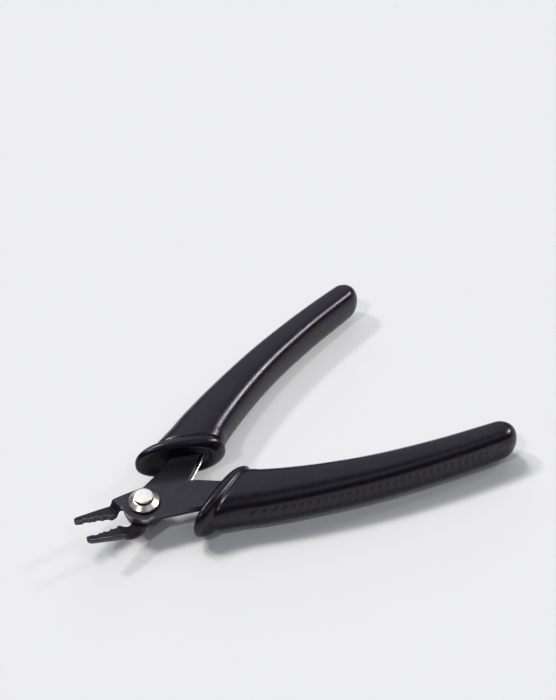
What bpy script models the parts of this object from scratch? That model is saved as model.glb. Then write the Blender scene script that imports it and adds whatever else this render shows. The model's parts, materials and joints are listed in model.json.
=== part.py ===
# Hand pliers with notched crimping jaws: two stamped lap-joint levers on one
# rivet, two moulded grips and a wire return spring.  Metres, +Z up.
# The tool lies flat on its grips.  +X runs from the jaws towards the grips,
# the mid-plane between the two levers is horizontal and the pivot axis is +Z.
import bpy
import bmesh
import math
from mathutils import Vector, Matrix

MM = 0.001

# ------------------------------------------------------------------ dimensions
PIVOT_X = -41.21         # pivot axis, from the middle of the overall box
MID_Z = 6.95             # height of the plane where the two levers lap
PLATE = 2.3              # thickness of each stamped lever
LAP_GAP = 0.15           # from the mid-plane to the face of each lever
OPEN_HALF = 8.8          # each lever is this far from closed, degrees

HEAD_R = 5.9             # rounded head of each lever about the pivot
HEAD_BACK_R = 5.15       # and on the side away from its arm
HEAD_LOW_R = 5.3         # the lower lever's is a little smaller
BORE_R = 2.0             # pivot hole in each lever
PIN_R = 1.91             # rivet shank

JAW_TIP = 19.45          # jaw tip, from the pivot
JAW_CLEAR = 0.12         # each jaw edge, from the closing line at the tip
JAW_FLARE = 0.05         # the jaw edges open towards the throat by this slope
JAW_RISE = 0.385         # the jaws rise towards their tips by this slope
JAW_LOW = -0.52          # mid-surface of both jaws at the step, from MID_Z
STEP_SKEW = 0.26         # the step line leans by this slope across the lever
JAW_TIP_THICK = 1.8      # jaw thickness at the tip
# crimping notches: centre from the pivot, half width, depth
NOTCHES = ((16.35, 1.00, 0.45), (14.70, 0.58, 0.40), (13.05, 0.98, 0.60), (10.90, 1.05, 0.50))

ARM_OUTER_DIST = 5.3     # outer edge of each arm, distance from the pivot axis
ARM_OUTER_DIR = 19.5     # and its direction in the open pose, degrees
CROTCH = (14.8, 0.5)     # where the arm's inner edge starts
ARM_INNER_DIR = 37.9
TANG_HALF = 3.2          # half width of the tang inside the grip
TANG_END = 69.0          # where the tang stops inside the grip

# grip centre line in the open pose: x, y, half width, half thickness
GRIP_LINE = (
    (16.7, 9.35, 8.10, 6.30), (20.0, 10.85, 8.00, 6.34), (24.0, 12.80, 7.75, 6.38),
    (29.0, 15.40, 7.25, 6.40), (39.0, 20.00, 6.50, 6.38), (49.0, 24.10, 5.92, 6.35),
    (59.0, 27.70, 5.48, 6.30), (70.0, 31.00, 5.12, 6.25), (81.0, 33.90, 4.82, 6.20),
    (92.0, 36.35, 4.55, 6.12), (101.4, 38.30, 4.25, 6.00))
GRIP_EXP = 2.75          # squareness of the grip section
MOUTH_DIR = 155.3        # direction of the mouth across the grip, in plan, degrees
SLANT_RUN = 19.0         # the lean dies out over this length
# lip at the mouth: set-back along the grip, half length, half height, squareness
LIP = ((1.50, 8.20, 4.10, 2.6), (0.45, 10.00, 5.05, 2.6), (0.00, 10.80, 5.70, 2.6),
       (0.25, 11.70, 6.45, 2.6), (1.15, 12.25, 6.92, 2.6), (2.60, 12.15, 6.95, 2.6),
       (3.60, 11.45, 6.62, 2.6), (4.20, 10.50, 6.20, 2.7))
LIP_SET = {-1: -0.6, 1: 0.2}   # the two grips are pushed on this much differently
LIP_OUT = {-1: 0.45, 1: 0.0}   # and one lip reaches further out

CONE_R = 4.2             # pivot collar
DISC_R = 2.6             # rivet head
WIRE_R = 0.35            # return spring wire
SPRING_Z = 6.15
FIT = 0.3                # gap between pieces that touch


# -------------------------------------------------------------------- clean up
for ob in list(bpy.data.objects):
    bpy.data.objects.remove(ob, do_unlink=True)

scene_coll = bpy.context.scene.collection
parts = bpy.data.collections.new("crimping_pliers")
tools = bpy.data.collections.new("cutters")
scene_coll.children.link(parts)
scene_coll.children.link(tools)


def material(name, rgb, rough, metal):
    m = bpy.data.materials.new(name)
    m.use_nodes = True
    b = m.node_tree.nodes["Principled BSDF"]
    b.inputs["Base Color"].default_value = (*rgb, 1.0)
    b.inputs["Roughness"].default_value = rough
    b.inputs["Metallic"].default_value = metal
    return m


M_BLADE = {n: material(n, (0.035, 0.033, 0.042), 0.38, 0.85)
           for n in ("upper_blade_black_oxide", "lower_blade_black_oxide")}
M_GRIP = {n: material(n, (0.012, 0.011, 0.014), 0.34, 0.0)
          for n in ("near_grip_black_vinyl", "far_grip_black_vinyl")}
M_RIVET = material("rivet_nickel", (0.72, 0.71, 0.64), 0.28, 1.0)
M_COLLAR = {n: material(n, (0.62, 0.58, 0.52), 0.22, 1.0)
            for n in ("upper_collar_nickel", "lower_collar_nickel")}
M_SPRING = material("spring_bright_steel", (0.75, 0.75, 0.76), 0.22, 1.0)


# --------------------------------------------------------------------- helpers
def rot2(p, deg):
    c, s = math.cos(math.radians(deg)), math.sin(math.radians(deg))
    return (p[0] * c - p[1] * s, p[0] * s + p[1] * c)


def smooth(t):
    t = min(max(t, 0.0), 1.0)
    return t * t * (3 - 2 * t)


def put(name, mesh, mat, coll=None):
    ob = bpy.data.objects.new(name, mesh)
    mesh.name = name
    if mat is not None:
        mesh.materials.clear()
        mesh.materials.append(mat)
    (coll or parts).objects.link(ob)
    return ob


def as_cutter(ob):
    ob.hide_render = True
    ob.display_type = 'WIRE'
    return ob


def plate_mesh(name, outlines, half_thick):
    """A flat sheet from closed outlines in mm: the first is the outside, the
    others are holes.  Returned as a welded mesh about z = 0, in metres."""
    cu = bpy.data.curves.new(name, 'CURVE')
    cu.dimensions = '2D'
    cu.fill_mode = 'BOTH'
    cu.extrude = half_thick * MM
    for pts in outlines:
        sp = cu.splines.new('POLY')
        sp.points.add(len(pts) - 1)
        for k, (x, y) in enumerate(pts):
            sp.points[k].co = (x * MM, y * MM, 0.0, 1.0)
        sp.use_cyclic_u = True
    ob = bpy.data.objects.new(name, cu)
    tools.objects.link(ob)
    dg = bpy.context.evaluated_depsgraph_get()
    dg.update()
    me = bpy.data.meshes.new_from_object(ob.evaluated_get(dg))
    bpy.data.objects.remove(ob, do_unlink=True)
    bm = bmesh.new()
    bm.from_mesh(me)
    bmesh.ops.remove_doubles(bm, verts=bm.verts, dist=1e-6)
    bmesh.ops.recalc_face_normals(bm, faces=bm.faces)
    bm.to_mesh(me)
    bm.free()
    return me


def circle_pts(r, n, cx=0.0, cy=0.0):
    return [(cx + r * math.cos(2 * math.pi * k / n), cy + r * math.sin(2 * math.pi * k / n))
            for k in range(n)]


def catmull(rows, u):
    """Smooth reading of a table at position u (in rows)."""
    n = len(rows) - 1
    u = min(max(u, 0.0), n - 1e-9)
    k = int(u)
    t = u - k
    p1, p2 = rows[k], rows[k + 1]
    p0 = rows[k - 1] if k > 0 else tuple(2 * a - b for a, b in zip(p1, p2))
    p3 = rows[k + 2] if k + 2 <= n else tuple(2 * b - a for a, b in zip(p1, p2))
    return tuple(0.5 * ((2 * b) + (c - a) * t + (2 * a - 5 * b + 4 * c - d) * t * t
                        + (3 * b - a - 3 * c + d) * t ** 3)
                 for a, b, c, d in zip(p0, p1, p2, p3))


# ---------------------------------------------------------- grip centre line
def line_table(step=0.25):
    """Points along the grip's centre line: distance, x, y, half width, half
    thickness, direction in degrees."""
    out, s, prev = [], 0.0, None
    n = int((len(GRIP_LINE) - 1) * 40)
    for k in range(n + 1):
        x, y, a, b = catmull(GRIP_LINE, k / 40)
        if prev:
            s += math.hypot(x - prev[0], y - prev[1])
        prev = (x, y)
        out.append([s, x, y, a, b, 0.0])
    for k, row in enumerate(out):
        p, q = out[max(k - 1, 0)], out[min(k + 1, n)]
        row[5] = math.degrees(math.atan2(q[2] - p[2], q[1] - p[1]))
    return out


LINE = line_table()
LINE_LEN = LINE[-1][0]


def on_line(s):
    if s <= 0:
        r = LINE[0]
        d = math.radians(r[5])
        return (r[1] + s * math.cos(d), r[2] + s * math.sin(d), r[3], r[4], r[5])
    for p, q in zip(LINE, LINE[1:]):
        if q[0] >= s:
            t = (s - p[0]) / (q[0] - p[0])
            return tuple(p[i] + (q[i] - p[i]) * t for i in range(1, 6))
    return tuple(LINE[-1][1:])


# ----------------------------------------------------------------- the levers
def jaw_edge(r):
    """Distance of the gripping edge from the closing line."""
    y = JAW_CLEAR + JAW_FLARE * (JAW_TIP - r)
    for c, h, d in NOTCHES:
        if abs(r - c) < h:
            y += d * math.sqrt(1 - ((r - c) / h) ** 2)
    if r < 9.4:                       # throat relief
        y += 0.95 * smooth((9.4 - r) / 2.4)
    return y


def arm_edges(offset=0.0):
    """Outer and inner edges of the arm and tang in the open pose, +Y side."""
    d = math.radians(ARM_OUTER_DIR)
    n = (-math.sin(d), math.cos(d))
    foot = (n[0] * ARM_OUTER_DIST, n[1] * ARM_OUTER_DIST)
    outer = [(foot[0] + t * math.cos(d), foot[1] + t * math.sin(d)) for t in (1.0, 7.0, 14.0)]
    e = math.radians(ARM_INNER_DIR)
    inner = [(CROTCH[0] + t * math.cos(e), CROTCH[1] + t * math.sin(e)) for t in (0.0, 4.0, 9.0)]
    tang_o, tang_i = [], []
    s = 8.0
    while True:
        x, y, a, b, ang = on_line(s)
        t = math.radians(ang)
        tang_o.append((x - TANG_HALF * math.sin(t), y + TANG_HALF * math.cos(t)))
        tang_i.append((x + TANG_HALF * math.sin(t), y - TANG_HALF * math.cos(t)))
        if x > TANG_END:
            break
        s += 6.0
    tang_o = [p for p in tang_o if p[0] > 21.0]
    tang_i = [p for p in tang_i if p[0] > 26.5]
    return outer + tang_o, inner + tang_i


def lever_outline(side, inner_shift=0.0, head_r=HEAD_R):
    """Closed-pose outline of a lever whose jaw is on +Y and arm on -Y.
    inner_shift moves the arm's inner edge away from the other arm."""
    pts = []
    # jaw: outer edge from the shoulder to the tip
    pts += [(-1.4, 5.1), (-3.2, 5.08), (-5.2, 5.0), (-7.0, 4.85), (-7.75, 4.68), (-8.6, 4.38),
            (-10.1, 4.0), (-12.0, 3.5), (-14.0, 2.95), (-16.0, 2.4), (-17.8, 1.92),
            (-18.6, 1.65), (-19.1, 1.32), (-19.4, 0.85), (-19.4, 0.45), (-19.1, 0.2), (-18.7, 0.16)]
    # gripping edge, tip to throat
    r = 18.3
    while r > 6.35:
        pts.append((-r, jaw_edge(r)))
        r -= 0.3
    # rounded head under the other jaw
    a = 167.0
    while a < 258.0:
        pts.append((head_r * math.cos(math.radians(a)), head_r * math.sin(math.radians(a))))
        a += 6.5
    outer, inner = arm_edges()
    if inner_shift:
        e = math.radians(ARM_INNER_DIR)
        inner = [(x - inner_shift * math.sin(e), y + inner_shift * math.cos(e)) if x < 24.0
                 else (x, y) for x, y in inner]
        inner = [(12.2, 1.3)] + inner
    # mirror the arm to -Y and turn it from the open to the closed pose
    arm_o = [rot2((x, -y), OPEN_HALF) for x, y in outer]
    arm_i = [rot2((x, -y), OPEN_HALF) for x, y in inner]
    pts += arm_o + list(reversed(arm_i))
    # back round the head on the arm side
    a = 12.0
    while a < 98.0:
        rr = HEAD_BACK_R + 1.4 * (1 - smooth((a - 12.0) / 45.0))
        pts.append((rr * math.cos(math.radians(a)), rr * math.sin(math.radians(a))))
        a += 9.0
    return pts


def lever_height(r, side):
    """Mid-surface of a lever from MID_Z, against the distance r in front of
    the pivot: flat at the lap joint, stepped to a common level, then rising."""
    flat = side * (LAP_GAP + PLATE / 2)
    if side > 0:
        a, b = 6.0, 7.6
    else:
        a, b = 6.3, 9.6
    line = JAW_LOW + JAW_RISE * (r - 7.6)
    t = smooth((r - a) / (b - a))
    return flat * (1 - t) + line * t


def lever(name, side, mat, inner_shift=0.0):
    pts = lever_outline(side, inner_shift, HEAD_R if side > 0 else HEAD_LOW_R)
    me = plate_mesh(name, [pts, circle_pts(BORE_R, 48)], PLATE / 2)
    bm = bmesh.new()
    bm.from_mesh(me)
    cut = 6.0
    while cut < 19.0:
        bmesh.ops.bisect_plane(bm, geom=bm.verts[:] + bm.edges[:] + bm.faces[:], dist=1e-7,
                               plane_co=(-cut * MM, 0, 0), plane_no=(-1.0, -STEP_SKEW, 0.0))
        cut += 0.3 if cut < 9.4 else 2.2
    for v in bm.verts:
        x, y, z = v.co.x / MM, v.co.y / MM, v.co.z / MM
        r = -x - STEP_SKEW * y
        if r > 5.9 and x < 0:
            thin = 1 - (1 - JAW_TIP_THICK / PLATE) * smooth((r - 9.0) / 10.0)
            z *= thin
        zz = lever_height(r if x < 0 else 0.0, side)
        v.co.z = (z + zz) * MM
    if side < 0:                       # the other lever is the same blank turned over
        for v in bm.verts:
            v.co.y = -v.co.y
        bmesh.ops.reverse_faces(bm, faces=bm.faces)
    bmesh.ops.triangulate(bm, faces=bm.faces)
    bmesh.ops.recalc_face_normals(bm, faces=bm.faces)
    bm.to_mesh(me)
    bm.free()
    ob = put(name, me, mat)
    ob.location = (PIVOT_X * MM, 0, MID_Z * MM)
    ob.rotation_euler = (0, 0, math.radians(-side * OPEN_HALF))
    return ob


upper_blade = lever("upper_blade", +1, M_BLADE["upper_blade_black_oxide"])
lower_blade = lever("lower_blade", -1, M_BLADE["lower_blade_black_oxide"], inner_shift=1.05)


# ---------------------------------------------------------------- turned parts
def turned(name, profile, mat, steps=48):
    """profile: (radius, z) in mm, running down the outer side, closed on the
    axis or into a ring."""
    me = bpy.data.meshes.new(name)
    bm = bmesh.new()
    vs = [bm.verts.new((r * MM, 0, z * MM)) for r, z in profile]
    for a, b in zip(vs, vs[1:]):
        bm.edges.new((a, b))
    if profile[0][0] > 0:
        bm.edges.new((vs[-1], vs[0]))
    bm.to_mesh(me)
    bm.free()
    ob = put(name, me, mat)
    sc = ob.modifiers.new("turn", 'SCREW')
    sc.axis = 'Z'
    sc.angle = 2 * math.pi
    sc.steps = steps
    sc.render_steps = steps
    sc.use_merge_vertices = True
    sc.merge_threshold = 0.000001
    sc.use_smooth_shade = True
    ob.location = (PIVOT_X * MM, 0, MID_Z * MM)
    return ob


RIM = 3.4                  # collar's base circle, from MID_Z
FACE = LAP_GAP + PLATE     # outer face of each lever, from MID_Z
rivet_profile = [(0, 5.40), (2.30, 5.40), (2.54, 5.32), (DISC_R, 5.18), (DISC_R, 5.00),
                 (2.42, 4.82), (PIN_R, 4.64), (PIN_R, -4.64), (2.42, -4.82), (DISC_R, -5.00),
                 (DISC_R, -5.18), (2.54, -5.32), (2.30, -5.40), (0, -5.40)]
pivot_rivet = turned("pivot_rivet", rivet_profile, M_RIVET)


def collar(name, sgn, mat):
    prof = [(BORE_R + 0.06, 4.32), (2.75, 4.32), (2.95, 4.22), (CONE_R, RIM),
            (CONE_R, FACE + 0.55), (CONE_R - 0.3, FACE + 0.25), (BORE_R + 0.06, FACE + 0.25)]
    if sgn < 0:
        prof = [(r, -z) for r, z in reversed(prof)]
    return turned(name, prof, mat)


upper_collar = collar("upper_collar", +1, M_COLLAR["upper_collar_nickel"])
lower_collar = collar("lower_collar", -1, M_COLLAR["lower_collar_nickel"])


# -------------------------------------------------------------------- the grips
def ring(cx, cy, ang, half_len, half_h, sq, n=36):
    """Squared oval in the upright plane through (cx, cy) whose across
    direction is at ang degrees in plan."""
    ax, ay = math.cos(math.radians(ang)), math.sin(math.radians(ang))
    out = []
    for k in range(n):
        t = 2 * math.pi * k / n
        c, s = math.cos(t), math.sin(t)
        u = half_len * math.copysign(abs(c) ** (2 / sq), c)
        w = half_h * math.copysign(abs(s) ** (2 / sq), s)
        out.append(((cx + ax * u) * MM, (cy + ay * u) * MM, w * MM))
    return out


def grip_rings(side):
    rings = []
    put_on, out = LIP_SET[side], LIP_OUT[side]
    for back, ha, hb, sq in LIP:
        x, y, a, b, ang = on_line(back + put_on)
        ax, ay = math.cos(math.radians(MOUTH_DIR)), math.sin(math.radians(MOUTH_DIR))
        rings.append(ring(x + ax * out, y + ay * out, MOUTH_DIR, ha + out, hb, sq))
    s = 5.4 + put_on
    dome = 5.2
    while s < LINE_LEN - dome:
        x, y, a, b, ang = on_line(s)
        slant = (MOUTH_DIR - 90 - LINE[0][5]) * (1 - smooth((s - put_on - 2.0) / SLANT_RUN))
        ha = a / math.cos(math.radians(slant))
        sq = 2.7 + (GRIP_EXP - 2.7) * smooth((s - 3) / 12)
        rings.append(ring(x, y, ang + 90 + slant, ha, b, sq))
        s += 2.2 if s < 20 else 5.4
    x, y, a, b, ang = on_line(LINE_LEN - dome)
    for deg in (0, 22, 40, 55, 68, 79, 87):
        t = math.radians(deg)
        f = (1 - math.sin(t) ** 2.3) ** (1 / 2.3)
        xx, yy, _, _, ang = on_line(LINE_LEN - dome * (1 - math.sin(t)))
        rings.append(ring(xx, yy, ang + 90, a * f, b * (0.12 + 0.88 * f) * (1 if deg < 80 else 0.9),
                          GRIP_EXP - 0.9 * math.sin(t)))
    return rings


def cutter_prism(name, outline, z0, z1):
    me = plate_mesh(name, [outline], (z1 - z0) / 2)
    for v in me.vertices:
        v.co.z += (z0 + z1) / 2 * MM
    ob = put(name, me, None, tools)
    ob.location = (PIVOT_X * MM, 0, MID_Z * MM)
    return as_cutter(ob)


def offset_tang(side, grow):
    """Pocket outline round the tang, on the +Y (side -1) or -Y (side +1) arm."""
    outer, inner = arm_edges()
    outer = [p for p in outer if p[0] > 9.0]
    inner = [p for p in inner if p[0] > 17.0]

    def push(line, sgn):
        res = []
        for k, p in enumerate(line):
            q, r = line[max(k - 1, 0)], line[min(k + 1, len(line) - 1)]
            d = math.atan2(r[1] - q[1], r[0] - q[0])
            res.append((p[0] - sgn * grow * math.sin(d), p[1] + sgn * grow * math.cos(d)))
        d = math.atan2(line[-1][1] - line[-2][1], line[-1][0] - line[-2][0])
        x, y = res[-1]
        res[-1] = (x + grow * math.cos(d), y + grow * math.sin(d))
        return res
    loop = push(outer, +1) + list(reversed(push(inner, -1)))
    if side > 0:
        loop = [(x, -y) for x, y in loop]
    return loop


def grip(name, side, mat):
    """side -1: on the lower lever, +Y; side +1: on the upper lever, -Y."""
    rings = grip_rings(side)
    me = bpy.data.meshes.new(name)
    bm = bmesh.new()
    flip = -1.0 if side > 0 else 1.0
    loops = [[bm.verts.new((x, y * flip, z)) for x, y, z in rg] for rg in rings]
    n = len(loops[0])
    for p, q in zip(loops, loops[1:]):
        for k in range(n):
            bm.faces.new((p[k], p[(k + 1) % n], q[(k + 1) % n], q[k]))
    bm.faces.new(loops[0])
    bm.faces.new(list(reversed(loops[-1])))
    bmesh.ops.recalc_face_normals(bm, faces=bm.faces)
    bm.to_mesh(me)
    bm.free()
    ob = put(name, me, mat)
    ob.location = (PIVOT_X * MM, 0, MID_Z * MM)
    # slot in the mouth for the arm and the end of the spring
    x, y, a, b, ang = on_line(LIP_SET[side])
    bpy.ops.mesh.primitive_cube_add(size=1.0)
    box = bpy.context.active_object
    box.name = name + "_mouth"
    for c in list(box.users_collection):
        c.objects.unlink(box)
    tools.objects.link(box)
    t = math.radians(ang)
    lo_t, hi_t, lo_n, hi_n = -4.5, 11.4, -6.0, 2.2
    lo_z, hi_z = (-2.95, 0.45) if side < 0 else (-1.6, 2.95)
    mt, mn = (lo_t + hi_t) / 2, (lo_n + hi_n) / 2
    cx = x + mt * math.cos(t) - mn * math.sin(t)
    cy = y + mt * math.sin(t) + mn * math.cos(t)
    m = Matrix.Translation((cx * MM, cy * flip * MM, 0)) @ Matrix.Rotation(t * flip, 4, 'Z') \
        @ Matrix.Diagonal(((hi_t - lo_t) * MM, (hi_n - lo_n) * MM, (hi_z - lo_z) * MM, 1.0))
    box.data.transform(m)
    box.location = (PIVOT_X * MM, 0, MID_Z * MM)
    bv = box.modifiers.new("round", 'BEVEL')
    bv.width = 0.0005
    bv.segments = 2
    as_cutter(box)
    z0 = side * (LAP_GAP + PLATE / 2) - PLATE / 2 - FIT
    z1 = side * (LAP_GAP + PLATE / 2) + PLATE / 2 + FIT
    pocket = cutter_prism(name + "_pocket", offset_tang(side, FIT + 0.05), z0, z1)
    for cut in (box, pocket):
        bo = ob.modifiers.new("cut_" + cut.name, 'BOOLEAN')
        bo.operation = 'DIFFERENCE'
        bo.object = cut
    return ob


far_grip = grip("far_grip", -1, M_GRIP["far_grip_black_vinyl"])
near_grip = grip("near_grip", +1, M_GRIP["near_grip_black_vinyl"])


# ----------------------------------------------------------------- the spring
def spring_points():
    """Half of the V, +Y side: from the bend out along the leg, in mm."""
    bend_x, bend_r = 14.95, 0.75
    leg_dir = 36.5
    pts = []
    a = 180.0
    while a > 90.0 + leg_dir:
        pts.append((bend_x + bend_r * math.cos(math.radians(a)), bend_r * math.sin(math.radians(a))))
        a -= 13.0
    d = math.radians(leg_dir)
    x, y = pts[-1]
    t = 1.2
    while t < 13.6:
        pts.append((x + t * math.cos(d), y + t * math.sin(d)))
        t += 1.6
    return pts


half = spring_points()
route = [(x, -y) for x, y in reversed(half[1:])] + half
cu = bpy.data.curves.new("return_spring", 'CURVE')
cu.dimensions = '3D'
cu.bevel_depth = WIRE_R * MM
cu.bevel_resolution = 2
cu.use_fill_caps = True
sp = cu.splines.new('POLY')
sp.points.add(len(route) - 1)
for k, (x, y) in enumerate(route):
    sp.points[k].co = (x * MM, y * MM, (SPRING_Z - MID_Z) * MM, 1.0)
ob = bpy.data.objects.new("spring_route", cu)
ob.location = (PIVOT_X * MM, 0, MID_Z * MM)
tools.objects.link(ob)
bpy.context.view_layer.update()
dg = bpy.context.evaluated_depsgraph_get()
me = bpy.data.meshes.new_from_object(ob.evaluated_get(dg))
keep = ob.matrix_world.copy()
bpy.data.objects.remove(ob, do_unlink=True)
bm = bmesh.new()
bm.from_mesh(me)
bmesh.ops.remove_doubles(bm, verts=bm.verts, dist=1e-6)
bmesh.ops.recalc_face_normals(bm, faces=bm.faces)
bm.to_mesh(me)
bm.free()
return_spring = put("return_spring", me, M_SPRING)
return_spring.matrix_world = keep

# ----------------------------------------- the two halves turn about the pivot
moving = bpy.data.objects.new("upper_half_pivot", None)
moving.empty_display_type = 'PLAIN_AXES'
moving.empty_display_size = 0.01
moving.location = (PIVOT_X * MM, 0, MID_Z * MM)
parts.objects.link(moving)
bpy.context.view_layer.update()
for child in (upper_blade, near_grip):
    w = child.matrix_world.copy()
    child.parent = moving
    child.matrix_parent_inverse = moving.matrix_world.inverted()
    child.matrix_world = w

for ob in parts.objects:
    if ob.type == 'MESH':
        ob.data.shade_smooth()
        ob.data.set_sharp_from_angle(angle=math.radians(35))
bpy.context.view_layer.update()
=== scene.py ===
import bpy
import bmesh
import json
import math
import numpy as np
from mathutils import Matrix, Vector

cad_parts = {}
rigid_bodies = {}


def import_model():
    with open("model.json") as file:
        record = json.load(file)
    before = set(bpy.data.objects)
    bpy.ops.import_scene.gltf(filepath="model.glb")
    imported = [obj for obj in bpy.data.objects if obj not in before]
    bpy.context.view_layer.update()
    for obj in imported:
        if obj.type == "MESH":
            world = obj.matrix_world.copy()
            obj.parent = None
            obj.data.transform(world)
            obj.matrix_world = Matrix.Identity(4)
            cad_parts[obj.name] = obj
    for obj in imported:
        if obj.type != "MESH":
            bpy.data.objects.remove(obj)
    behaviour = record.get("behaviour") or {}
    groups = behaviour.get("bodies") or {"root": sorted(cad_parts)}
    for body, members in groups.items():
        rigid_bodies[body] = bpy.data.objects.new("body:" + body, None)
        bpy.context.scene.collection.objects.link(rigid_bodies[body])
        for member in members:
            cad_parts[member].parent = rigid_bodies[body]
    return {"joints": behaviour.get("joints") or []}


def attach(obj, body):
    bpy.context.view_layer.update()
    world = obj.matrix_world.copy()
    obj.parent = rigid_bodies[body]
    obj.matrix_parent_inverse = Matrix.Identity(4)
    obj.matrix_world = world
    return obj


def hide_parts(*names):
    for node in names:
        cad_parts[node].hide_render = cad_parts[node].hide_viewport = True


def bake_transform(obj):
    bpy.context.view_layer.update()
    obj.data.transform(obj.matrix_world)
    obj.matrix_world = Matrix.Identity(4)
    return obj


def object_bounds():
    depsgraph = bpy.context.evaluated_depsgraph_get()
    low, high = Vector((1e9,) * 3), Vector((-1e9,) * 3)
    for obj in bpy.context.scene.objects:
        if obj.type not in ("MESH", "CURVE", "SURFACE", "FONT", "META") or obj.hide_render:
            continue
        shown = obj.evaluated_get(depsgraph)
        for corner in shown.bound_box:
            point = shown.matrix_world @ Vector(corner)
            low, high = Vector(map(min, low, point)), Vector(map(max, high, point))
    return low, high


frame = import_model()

MM = 0.001
cad_lo, cad_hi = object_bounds()

# ------------------------------------------------------------------ the frame
joint = [j for j in frame["joints"] if j["name"] == "pivot_hinge"][0]
PX, PY, PZ = (c / MM for c in joint["pos_m"])       # pivot, mm
MID_Z = PZ
LOWER, UPPER = "lower_half", "upper_half"

# --------------------------------------------------- sizes, in mm and degrees
PLATE = 2.3
LAP_GAP = 0.15
OPEN_HALF = 8.8
HEAD_R = 5.9
HEAD_BACK_R = 5.15
HEAD_LOW_R = 5.3
BORE_R = 2.0
PIN_R = 1.91
JAW_TIP = 19.45
JAW_CLEAR = 0.12
JAW_FLARE = 0.05
JAW_RISE = 0.385
JAW_LOW = -0.52
STEP_SKEW = 0.26
JAW_TIP_THICK = 1.8
NOTCHES = ((16.35, 1.00, 0.45), (14.70, 0.58, 0.40), (13.05, 0.98, 0.60), (10.90, 1.05, 0.50))
ARM_OUTER_DIST = 5.3
ARM_OUTER_DIR = 19.5
CROTCH = (14.8, 0.5)
ARM_INNER_DIR = 37.9
TANG_HALF = 3.2
TANG_END = 69.0
GRIP_LINE = (
    (16.7, 9.35, 8.10, 6.30), (20.0, 10.85, 8.00, 6.34), (24.0, 12.80, 7.75, 6.38),
    (29.0, 15.40, 7.25, 6.40), (39.0, 20.00, 6.50, 6.38), (49.0, 24.10, 5.92, 6.35),
    (59.0, 27.70, 5.48, 6.30), (70.0, 31.00, 5.12, 6.25), (81.0, 33.90, 4.82, 6.20),
    (92.0, 36.35, 4.55, 6.12), (101.4, 38.30, 4.25, 6.00))
GRIP_EXP = 2.75
MOUTH_DIR = 155.3
SLANT_RUN = 19.0
LIP = ((1.50, 8.20, 4.10, 2.6), (0.50, 9.55, 4.90, 2.6), (0.05, 10.45, 5.50, 2.5),
       (0.22, 11.25, 6.10, 2.5), (0.85, 11.92, 6.60, 2.5), (1.70, 12.22, 6.90, 2.5),
       (2.65, 12.12, 6.93, 2.5), (3.55, 11.50, 6.66, 2.6), (4.20, 10.50, 6.20, 2.7))
LIP_SET = {-1: -0.6, 1: 0.2}
LIP_OUT = {-1: 0.45, 1: 0.0}
CONE_R = 4.2
DISC_R = 2.6
WIRE_R = 0.35
SPRING_Z = 6.15
FACE = LAP_GAP + PLATE
RIM = 3.4


# ------------------------------------------------------------------- helpers
def smooth(t):
    t = min(max(t, 0.0), 1.0)
    return t * t * (3 - 2 * t)


def rot2(p, deg):
    c, s = math.cos(math.radians(deg)), math.sin(math.radians(deg))
    return (p[0] * c - p[1] * s, p[0] * s + p[1] * c)


def catmull(rows, u):
    n = len(rows) - 1
    u = min(max(u, 0.0), n - 1e-9)
    k = int(u)
    t = u - k
    p1, p2 = rows[k], rows[k + 1]
    p0 = rows[k - 1] if k > 0 else tuple(2 * a - b for a, b in zip(p1, p2))
    p3 = rows[k + 2] if k + 2 <= n else tuple(2 * b - a for a, b in zip(p1, p2))
    return tuple(0.5 * ((2 * b) + (c - a) * t + (2 * a - 5 * b + 4 * c - d) * t * t
                        + (3 * b - a - 3 * c + d) * t ** 3)
                 for a, b, c, d in zip(p0, p1, p2, p3))


def line_table():
    out, s, prev = [], 0.0, None
    n = (len(GRIP_LINE) - 1) * 40
    for k in range(n + 1):
        x, y, a, b = catmull(GRIP_LINE, k / 40)
        if prev:
            s += math.hypot(x - prev[0], y - prev[1])
        prev = (x, y)
        out.append([s, x, y, a, b, 0.0])
    for k, row in enumerate(out):
        p, q = out[max(k - 1, 0)], out[min(k + 1, n)]
        row[5] = math.degrees(math.atan2(q[2] - p[2], q[1] - p[1]))
    return np.array(out)


LINE = line_table()
LINE_LEN = float(LINE[-1, 0])


def on_line(s):
    if s <= 0:
        r = LINE[0]
        d = math.radians(r[5])
        return (r[1] + s * math.cos(d), r[2] + s * math.sin(d), r[3], r[4], r[5])
    return tuple(float(np.interp(s, LINE[:, 0], LINE[:, i])) for i in range(1, 6))


def new_object(name, mesh, body, nodes):
    ob = bpy.data.objects.new(name, mesh)
    mesh.name = name
    bpy.context.scene.collection.objects.link(ob)
    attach(ob, body)
    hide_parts(*nodes)
    return ob


def finish_mesh(me, angle=30):
    me.shade_smooth()
    me.set_sharp_from_angle(angle=math.radians(angle))


def apply_modifier(ob, kind, **values):
    bpy.context.view_layer.update()
    m = ob.modifiers.new(kind.lower(), kind)
    for k, v in values.items():
        setattr(m, k, v)
    dg = bpy.context.evaluated_depsgraph_get()
    me = bpy.data.meshes.new_from_object(ob.evaluated_get(dg))
    ob.modifiers.remove(m)
    old = ob.data
    ob.data = me
    bpy.data.meshes.remove(old)


# ================================================================ the levers
def jaw_edge(r):
    y = JAW_CLEAR + JAW_FLARE * (JAW_TIP - r)
    for c, h, d in NOTCHES:
        if abs(r - c) < h:
            y += d * math.sqrt(1 - ((r - c) / h) ** 2)
    if r < 9.4:
        y += 0.95 * smooth((9.4 - r) / 2.4)
    return y


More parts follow.
